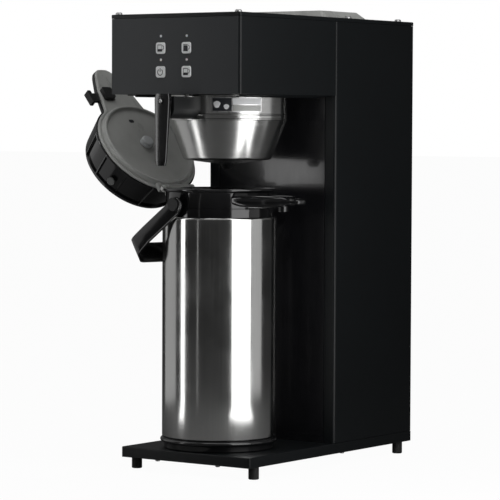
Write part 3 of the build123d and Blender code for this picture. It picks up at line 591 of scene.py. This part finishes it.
def make_key_icons():
    """Generic pictograms: two part-full jugs, a full jug and a power ring."""
    spout_lip = [(-4.0, 4.4), (-4.6, 3.6), (2.6, 3.6), (3.0, 4.4)]
    handle = ring_sector((3.1, 0.6), 2.6, 0.7, -80, 80)
    walls = [(-3.9, 3.6), (-4.4, -3.9), (-3.9, -4.2), (-3.3, 3.6)]
    right_wall = [(2.4, 3.6), (2.9, -4.1), (3.4, -3.8), (2.9, 3.6)]
    low_fill = [(-4.2, -4.4), (-4.0, -1.2), (2.8, -1.2), (3.0, -4.4)]
    full_fill = [(-4.2, -4.4), (-3.8, 3.0), (2.6, 3.0), (3.0, -4.4)]
    ring = ring_sector((0, -0.4), 3.9, 1.0, -235, 55, 30)
    bar = rounded_box(1.0, 4.6, 0.4)
    bar = [(x, y + 2.4) for x, y in bar]
    key_icon("icon_half_jug_upper", "key_upper_left", [spout_lip, handle, low_fill, walls, right_wall])
    key_icon("icon_full_jug", "key_upper_right", [spout_lip, handle, full_fill])
    key_icon("icon_power", "key_lower_left", [ring, bar])
    key_icon("icon_half_jug_lower", "key_lower_right", [spout_lip, handle, low_fill, walls, right_wall])


# ---- airpot ----------------------------------------------------------------------------------------
def make_airpot_shell():
    """Drawn steel body with a rolled top edge."""
    outside = [(0, 45.0), (72.6, 45.0)] + arc((72.6, 46.4), 1.4, -90, 0, 4)
    outside += [(74.0, 120), (74.0, 240), (74.0, 326.4)]
    rim = arc((71.6, 326.9), 2.4, 0, 80, 8) + [(70.9, 329.2), (70.9, 328.4)]
    inside = [(72.6, 326.2), (73.1, 325.0), (73.1, 46.4), (0, 46.0)]
    body = lathe(outside + rim + inside, steps=200)
    piece = finish_mesh("airpot_steel_body", body, pot_place, upright_steel, 40)
    stand_for(piece, "airpot", "stainless_steel", "airpot_shell")


def make_collar():
    """Gloss collar with a rolled top rim, a joint line and the funnel down to the neck."""
    outside = [(66, 331.9), (66, 322.4), (69.6, 322.4), (69.9, 330.2), (69.9, 340)]
    outside += [(69.5, 340.4), (69.5, 341.0), (69.9, 341.4), (69.9, 360.6), (70.6, 361.6)]
    outside += arc((71.0, 364.0), 2.0, -75, 90, 9)
    inside = [(56, 366.0)] + arc((56, 362), 4.0, 90, 160, 6) + [(34.5, 339), (32.4, 336), (32.1, 332.1)]
    collar = lathe(outside + inside, steps=200)
    piece = finish_mesh("airpot_gloss_collar", collar, pot_place, MATERIALS["gloss_black_plastic"], 38)
    stand_for(piece, "airpot", "gloss_black_plastic", "airpot_collar")


def make_foot_ring():
    """Moulded ring under the body, with a bulging upper lip."""
    outside = [(40, 41), (60, 41), (60, 29.9), (70.4, 29.9)] + arc((70.4, 31.2), 1.3, -90, 0, 4)
    outside += [(71.6, 35.6), (72.4, 37.4)] + arc((73.6, 40.6), 2.7, -60, 80, 10)
    outside += [(74.2, 44.2), (72.4, 44.9), (40, 44.9)]
    ring = lathe(outside, steps=200)
    piece = finish_mesh("airpot_foot", ring, pot_place, MATERIALS["gloss_black_plastic"], 40)
    stand_for(piece, "airpot", "gloss_black_plastic", "airpot_foot_ring")


OUTLET_REACH = 118
SPOUT_SECTIONS = (
    (62, 36.5, 357.4, 346.0, 4.5),
    (72, 35.2, 357.9, 343.6, 5.5),
    (86, 31.5, 358.0, 342.6, 6.0),
    (100, 27.0, 358.0, 342.5, 6.0),
    (114, 21.8, 357.8, 343.2, 5.5),
    (123, 17.6, 357.4, 344.4, 5.0),
    (127.5, 14.2, 356.8, 345.6, 4.0),
    (129.5, 11.0, 356.0, 346.6, 3.4),
    (140, 9.4, 355.2, 347.0, 3.2),
    (148, 8.4, 354.4, 347.6, 3.0),
    (151.0, 7.2, 353.6, 348.2, 2.4),
    (152.0, 5.2, 352.6, 349.2, 1.5),
)


def make_spout():
    """Duck-bill spout, from sections of reach, half width, top, bottom and corner radius."""
    sections = []
    for x, half, top, bottom, soft in SPOUT_SECTIONS:
        outline = rounded_box(2 * half, top - bottom, soft, 8)
        sections.append([(x, a, (top + bottom) / 2 + b) for a, b in outline])
    piece = finish_mesh("airpot_beak", loft(sections), pot_place, MATERIALS["gloss_black_plastic"], 50)
    stand_for(piece, "airpot", "gloss_black_plastic", "airpot_spout")
    profile = [(3.4, 338.0), (5.4, 338.0)]
    profile += arc((5.4, 338.7), 0.7, -90, 0, 4) + [(6.2, 345.0), (3.4, 345.0)]
    lip = lathe(profile, (OUTLET_REACH, 0), 64)
    outlet = finish_mesh("beak_outlet", lip, pot_place, MATERIALS["gloss_black_plastic"], 45)
    stand_for(outlet, "airpot", "gloss_black_plastic")


BAIL_HALF = 77.6
BAIL_REACH = 107.0
BAIL_BEND = 18.0


def bail_route():
    """Points round the bail, in the plane of its arms; its corners are cut to a flat facet."""
    cut = (8, 20, 70, 82)
    arm = (0, 20, 45, 68, BAIL_REACH - BAIL_BEND - 1)
    corner = BAIL_REACH - BAIL_BEND
    near_corner = (-corner, -BAIL_HALF + BAIL_BEND)
    far_corner = (-corner, BAIL_HALF - BAIL_BEND)
    points = [(-s, -BAIL_HALF) for s in arm]
    points += [arc(near_corner, BAIL_BEND, 270 - turn, 0, 1)[0] for turn in cut]
    points += [(-BAIL_REACH, y) for y in (-50, -25, 0, 25, 50)]
    points += [arc(far_corner, BAIL_BEND, 180 - turn, 0, 1)[0] for turn in cut]
    points += [(-s, BAIL_HALF) for s in reversed(arm)]
    return points


def make_bail():
    """Flat moulded strap, wider and thicker at the grip, with softened edges and an eye on each arm."""
    route = bail_route()
    sections = []
    for i, (x, y) in enumerate(route):
        before, after = route[max(i - 1, 0)], route[min(i + 1, len(route) - 1)]
        along = Vector((after[0] - before[0], after[1] - before[1], 0)).normalized()
        across = Vector((-along.y, along.x, 0))
        grip = min(1.0, max(0.0, (-x - 80) / 26))
        wide = 22.5 + 5.5 * grip
        thick = 4.4 + 1.2 * grip
        spot = Vector((x, y, -3.0 - 5.0 * grip))
        sections.append([spot + across * a + UP * b for a, b in rounded_box(thick, wide, 1.6, 5)])
    piece = finish_mesh("bail_strap", loft(sections), bail_place, MATERIALS["gloss_black_plastic"], 35)
    stand_for(piece, "bail", "black_plastic", "bail_handle")
    for side, name in ((-1, "near"), (1, "far")):
        maker = bmesh.new()
        sideways_disc(maker, (0, side * BAIL_HALF, -1.6), 11.0, 4.3, 64)
        round_rims(maker, 1.0)
        eye = finish_mesh(f"bail_eye_{name}", maker, bail_place, MATERIALS["gloss_black_plastic"], 50)
        stand_for(eye, "bail", "black_plastic")


# ---- airpot lid ------------------------------------------------------------------------------------
HINGE_REACH = 81.0
LID_RADIUS = 73.8
LATCH_SPOT = (174.0, -16.5)
EAR_OFFSET = 22.0
BLEND_POWER = 40
NOSE_PLAN = ((30, 40.0), (60, 37.0), (105, 27.0), (130, 17.0), (136.5, 13.0), (140, 7.5), (140.4, 0.0))


def nose_reach(turn, margin):
    """How far the nose reaches from the lid's centre in a direction."""
    best = 0.0
    way = (math.cos(turn), abs(math.sin(turn)))
    for (ax, ay), (bx, by) in zip(NOSE_PLAN, NOSE_PLAN[1:]):
        ax, ay, bx, by = ax + margin, ay + margin, bx + margin, by + (margin if by else 0.0)
        run_x, run_y = bx - ax, by - ay
        cross = way[0] * run_y - way[1] * run_x
        if abs(cross) < 1e-9:
            continue
        length = (ax * run_y - ay * run_x) / cross
        along = (ax * way[1] - ay * way[0]) / cross
        if length > 0 and -1e-6 <= along <= 1 + 1e-6:
            best = max(best, length)
    return best


def lid_outline(radius, margin):
    """The lid's plan: a round body blended into a tapering nose."""
    points = []
    turns = [t * 0.5 for t in range(-80, 80)] + [40 + t * 2 for t in range(0, 140)]
    for degrees in turns:
        turn = math.radians(degrees)
        reach = nose_reach(turn, margin)
        blend = (radius ** BLEND_POWER + reach ** BLEND_POWER) ** (1 / BLEND_POWER)
        points.append((HINGE_REACH + blend * math.cos(turn), blend * math.sin(turn)))
    return points


def stepped_shell(rings):
    """Skin stacked plan outlines, each (outline, height), first to last, and cap both ends."""
    return loft([[(x, y, z) for x, y in outline] for outline, z in rings])


def pierced_shell(rings, opening):
    """A stepped shell with one opening straight through it."""
    maker = bmesh.new()
    loops = [[maker.verts.new((x, y, z)) for x, y in outline] for outline, z in rings]
    for low, high in zip(loops, loops[1:]):
        for i in range(len(low)):
            j = (i + 1) % len(low)
            maker.faces.new((low[i], low[j], high[j], high[i]))
    levels = (rings[0][1], rings[-1][1])
    holes = [[maker.verts.new((x, y, z)) for x, y in opening] for z in levels]
    for i in range(len(opening)):
        j = (i + 1) % len(opening)
        maker.faces.new((holes[0][i], holes[0][j], holes[1][j], holes[1][i]))
    for outer, inner in ((loops[0], holes[0]), (loops[-1], holes[1])):
        edges = []
        for loop in (outer, inner):
            edges += [maker.edges.get(pair) for pair in zip(loop, loop[1:] + loop[:1])]
        bmesh.ops.triangle_fill(maker, use_beauty=True, edges=edges)
    return maker


def make_lid_plate():
    """Grey underside of the lid: a band with its nose, a dish in a raised ring, hinge ears and a dark sheet
    painted as the shade of a vent hole.
    """
    insets = (
        (0.9, 12.95),
        (0.1, 12.4),
        (0.0, 11.2),
        (0.5, 10.2),
        (1.5, 9.6),
        (2.8, 9.5),
        (3.4, 9.9),
        (4.4, 10.0),
    )
    rings = [(lid_outline(LID_RADIUS - back, -back), z) for back, z in insets]
    opening = [(LATCH_SPOT[0] + x, LATCH_SPOT[1] + y) for x, y in rounded_box(19.0, 20.0, 3.0)]
    plate = pierced_shell(rings, opening)
    piece = finish_mesh("lid_underside", plate, lid_place, MATERIALS["grey_plastic"], 50)
    stand_for(piece, "airpot_lid", "grey_plastic", "lid_plate")
    ridge = [(0, 10.2), (69.4, 10.2), (69.2, 8.8), (68.4, 6.2)]
    ridge += arc((66.0, 4.4), 2.2, 20, -180, 12)
    ridge += [(62.6, 6.0), (60.6, 6.9), (56.0, 7.3), (40.0, 7.6), (0, 7.6)]
    inner = lathe(ridge, (HINGE_REACH, 0), 200)
    dish = finish_mesh("lid_dish", inner, lid_place, MATERIALS["grey_plastic"], 55)
    stand_for(dish, "airpot_lid", "grey_plastic", "sealing_ring")
    knuckles = bmesh.new()
    for side in (-1, 1):
        sideways_disc(knuckles, (0, side * EAR_OFFSET, 0), 5.0, 8.0, 48)
        arm = Matrix.Translation((8.5, side * EAR_OFFSET, 7.6)) @ Matrix.Diagonal((13, 8.0, 5.6, 1))
        bmesh.ops.create_cube(knuckles, size=1.0, matrix=arm)
    round_rims(knuckles, 0.9)
    ears = finish_mesh("lid_hinge_ears", knuckles, lid_place, MATERIALS["grey_plastic"])
    stand_for(ears, "airpot_lid", "grey_plastic")
    # A thin dark ink sheet on the dish floor stands in for a vent hole: painted shade, with no opening cut.
    vent = prism([(HINGE_REACH + 44 + x, -4 + y) for x, y in rounded_box(5.4, 8.5, 2.6)], 7.3, 7.8)
    hole = finish_mesh("lid_vent_painted_shade", vent, lid_place, ink)
    stand_for(hole, "airpot_lid", "grey_plastic")


COVER_LOW = 12.95
COVER_HIGH = 58.5
RECESS_LOW = 16.2
RECESS_HIGH = 50.8
RECESS_DEPTH = 2.6
SHALLOW_DEPTH = 1.6
RIB_TURNS = (68, 98, 128, 158)
# The ribs whose outer faces are painted lighter grey as a painted highlight.
HIGHLIGHT_PAINTED_RIBS = (68, 98, 158)
FIRST_RIB = 68
SHALLOW_RIB = 128
RIB_HALF = 1.0
# Half width, in degrees, of the painted highlight on those ribs.
PAINTED_HIGHLIGHT_HALF = 0.65
COVER_LEVELS = (12.95, 13.6, 15.4, 16.0, 16.4, 30.0, 44.0, 50.6, 51.0, 51.6, 54.2, 56.2, 57.6, 58.3, 58.5)
# How many levels up from the rim the ribs' painted highlight reaches.
RIB_LEVELS = 9
COVER_ROUNDING = {12.95: 0.6, 54.2: 0.3, 56.2: 1.2, 57.6: 2.6, 58.3: 4.4, 58.5: 6.4}
COVER_INSIDE = ((41.2, 58.5), (41.2, 48.0), (66.0, 48.0), (72.5, 12.95))


def cover_radius(height):
    """The skirt's radius, which narrows towards the top."""
    return 76.0 - 7.0 * (height - COVER_LOW) / (COVER_HIGH - COVER_LOW)


def from_rib(degrees, ribs):
    """The angle from a direction to the nearest rib on either side."""
    return min(abs(abs(degrees) - rib) for rib in ribs)


def cover_turns():
    """Directions round the cover: even steps, and closer ones beside each rib."""
    turns = [t * 2 for t in range(-90, 90)]
    for side in (-1, 1):
        for rib in RIB_TURNS:
            turns += [side * (rib + step) for step in (-1.7, -1.1, -0.6, 0, 0.6, 1.1, 1.7)]
    return sorted(set(turns))


def cover_section(degrees):
    """The cover's section in one direction, as (radius, height) from the rim over the top and back."""
    deep = 0.0
    if abs(degrees) > FIRST_RIB and from_rib(degrees, RIB_TURNS) > RIB_HALF:
        deep = RECESS_DEPTH
    elif from_rib(degrees, (SHALLOW_RIB,)) <= RIB_HALF:
        deep = SHALLOW_DEPTH
    section = []
    for height in COVER_LEVELS:
        cut = deep if RECESS_LOW <= height <= RECESS_HIGH else 0.0
        section.append((cover_radius(height) - COVER_ROUNDING.get(height, 0.0) - cut, height))
    return section + list(COVER_INSIDE)


def make_lid_cover():
    """Black domed cover: a deep skirt with glossy recesses between upright ribs, three ribs painted lighter grey
    on their outer faces as a painted highlight, and a thin nose.
    """
    maker = bmesh.new()
    turns = cover_turns()
    rings = []
    for degrees in turns:
        turn = math.radians(degrees)
        ring = []
        for radius, height in cover_section(degrees):
            spot = (HINGE_REACH + radius * math.cos(turn), radius * math.sin(turn), height)
            ring.append(maker.verts.new(spot))
        rings.append(ring)
    count = len(rings[0])
    for index, here in enumerate(rings):
        following = (index + 1) % len(rings)
        there = rings[following]
        halfway = (turns[index] + turns[following]) / 2
        # Faces on the highlighted ribs take the lighter grey: a painted highlight.
        on_painted_highlight = from_rib(halfway, HIGHLIGHT_PAINTED_RIBS) < PAINTED_HIGHLIGHT_HALF
        for i in range(count):
            j = (i + 1) % count
            face = maker.faces.new((here[i], there[i], there[j], here[j]))
            # Painted highlight: the lower outer faces of these ribs get the second, lighter material.
            if on_painted_highlight and i < RIB_LEVELS:
                face.material_index = 1
    piece = finish_mesh("lid_dome", maker, lid_place, MATERIALS["gloss_black_plastic"], 28)
    # The second material is the lighter grey of the ribs' painted highlight.
    piece.data.materials.append(MATERIALS["rib_painted_highlight"])
    stand_for(piece, "airpot_lid", "black_plastic", "lid_cover")
    insets = ((0.5, 12.98), (0.0, 13.6), (0.0, 18.4), (0.8, 20.2), (2.4, 20.9), (4.0, 21.0))
    rings = [(lid_outline(62 - back, 0.4 - back), z) for back, z in insets]
    beak = finish_mesh("lid_nose_cover", stepped_shell(rings), lid_place, MATERIALS["black_plastic"], 50)
    stand_for(beak, "airpot_lid", "black_plastic")


# ---- stage -----------------------------------------------------------------------------------------
SOFT_BOXES = (
    ("right_box", -11, 0.56, 0.6, 0.385, 1.2, 2.5),
    ("left_strip", -128, 0.62, 0.6, 0.095, 1.2, 2.4),
    ("thin_strip", -95.6, 0.62, 0.6, 0.018, 1.2, 0.4),
    ("far_left_box", -168, 0.66, 0.6, 0.5, 1.2, 0.36),
    ("far_right_box", 24, 0.8, 0.6, 0.36, 1.2, 0.45),
)
FLOOR_CARDS = (
    ("right_card", -11, 0.31, 0.56, 0.3, 2.2),
    ("left_card", -128, 0.32, 0.62, 0.08, 2.0),
)
SEEN_SHARE = 0.88
SEEN_FLOOR = 1.1
AROUND = 0.1
WHITE = (1, 1, 1, 1)


def make_floor():
    """A floor that the camera sees as near white, and that stays dim in what the steel mirrors."""
    bpy.ops.mesh.primitive_plane_add(size=60)
    floor = bpy.context.object
    floor.name = "floor"
    graph = Graph("floor_white")
    graph.colours(graph.noise(3.0), (0.14, 0.14, 0.14), (0.16, 0.16, 0.16))
    graph.constant("Roughness", 0.9)
    seen = graph.add("ShaderNodeEmission")
    seen.inputs["Strength"].default_value = SEEN_FLOOR
    ray = graph.add("ShaderNodeLightPath")
    mix = graph.add("ShaderNodeMixShader")
    share = graph.add("ShaderNodeMath", operation="MULTIPLY")
    share.inputs[1].default_value = SEEN_SHARE
    graph.join(ray.outputs["Is Camera Ray"], share.inputs[0])
    graph.join(share.outputs[0], mix.inputs["Fac"])
    graph.join(graph.shader.outputs[0], mix.inputs[1])
    graph.join(seen.outputs[0], mix.inputs[2])
    graph.join(mix.outputs[0], graph.tree.nodes["Material Output"].inputs["Surface"])
    floor.data.materials.append(graph.material)


def make_world():
    """A white background for the camera and a dim room for everything else."""
    world = bpy.data.worlds.new("studio")
    bpy.context.scene.world = world
    bpy.context.scene.view_settings.view_transform = "Standard"
    world.use_nodes = True
    tree = world.node_tree
    lit = tree.nodes["Background"]
    lit.inputs["Color"].default_value = WHITE
    lit.inputs["Strength"].default_value = AROUND
    seen = tree.nodes.new("ShaderNodeBackground")
    seen.inputs["Color"].default_value = WHITE
    seen.inputs["Strength"].default_value = 1.0
    ray = tree.nodes.new("ShaderNodeLightPath")
    mix = tree.nodes.new("ShaderNodeMixShader")
    tree.links.new(ray.outputs["Is Camera Ray"], mix.inputs["Fac"])
    tree.links.new(lit.outputs[0], mix.inputs[1])
    tree.links.new(seen.outputs[0], mix.inputs[2])
    tree.links.new(mix.outputs[0], tree.nodes["World Output"].inputs["Surface"])


def add_light(name, spot, wide, tall, radiance):
    """A rectangular lamp of a given radiance, hidden from the camera."""
    light = bpy.data.lights.new(name, "AREA")
    light.shape = "RECTANGLE"
    light.size, light.size_y = wide, tall
    light.energy = radiance * math.pi * wide * tall
    lamp = bpy.data.objects.new(name, light)
    bpy.context.scene.collection.objects.link(lamp)
    lamp.location = spot
    lamp.visible_camera = False
    return lamp


def beside_pot(bearing, distance, height):
    """A spot at a bearing in degrees from +X and a distance from the airpot's axis."""
    turn = math.radians(bearing)
    away = Vector((math.cos(turn), math.sin(turn), 0)) * distance
    return Vector((bail_pivot.x, bail_pivot.y, height)) + away


def soft_box(name, bearing, distance, height, wide, tall, radiance, aim_height=None):
    """An upright panel that faces the airpot, level unless it is aimed at another height."""
    spot = beside_pot(bearing, distance, height)
    lamp = add_light(name, spot, wide, tall, radiance)
    aim = Vector((bail_pivot.x, bail_pivot.y, height if aim_height is None else aim_height))
    lamp.rotation_mode = "QUATERNION"
    lamp.rotation_quaternion = (aim - spot).to_track_quat("-Z", "Y")


def floor_card(name, bearing, near, far, wide, radiance):
    """A lit card lying face up on the floor, from near to far along a bearing."""
    spot = beside_pot(bearing, (near + far) / 2, 0.012)
    lamp = add_light(name, spot, far - near, wide, radiance)
    lamp.rotation_euler = (math.pi, 0, math.radians(bearing))


def make_lights():
    """Soft boxes and strips round the airpot, one panel overhead and two cards on the floor."""
    for box in SOFT_BOXES:
        soft_box(*box)
    soft_box("overhead", -60, 0.5, 2.3, 1.6, 1.6, 1.4, aim_height=0.3)
    for card in FLOOR_CARDS:
        floor_card(*card)


make_camera()
make_floor()
make_world()
make_lights()
dress_cad_nodes()
make_basket()
make_basket_handle()
make_label()
make_key_icons()
make_airpot_shell()
make_collar()
make_foot_ring()
make_spout()
make_bail()
make_lid_plate()
make_lid_cover()
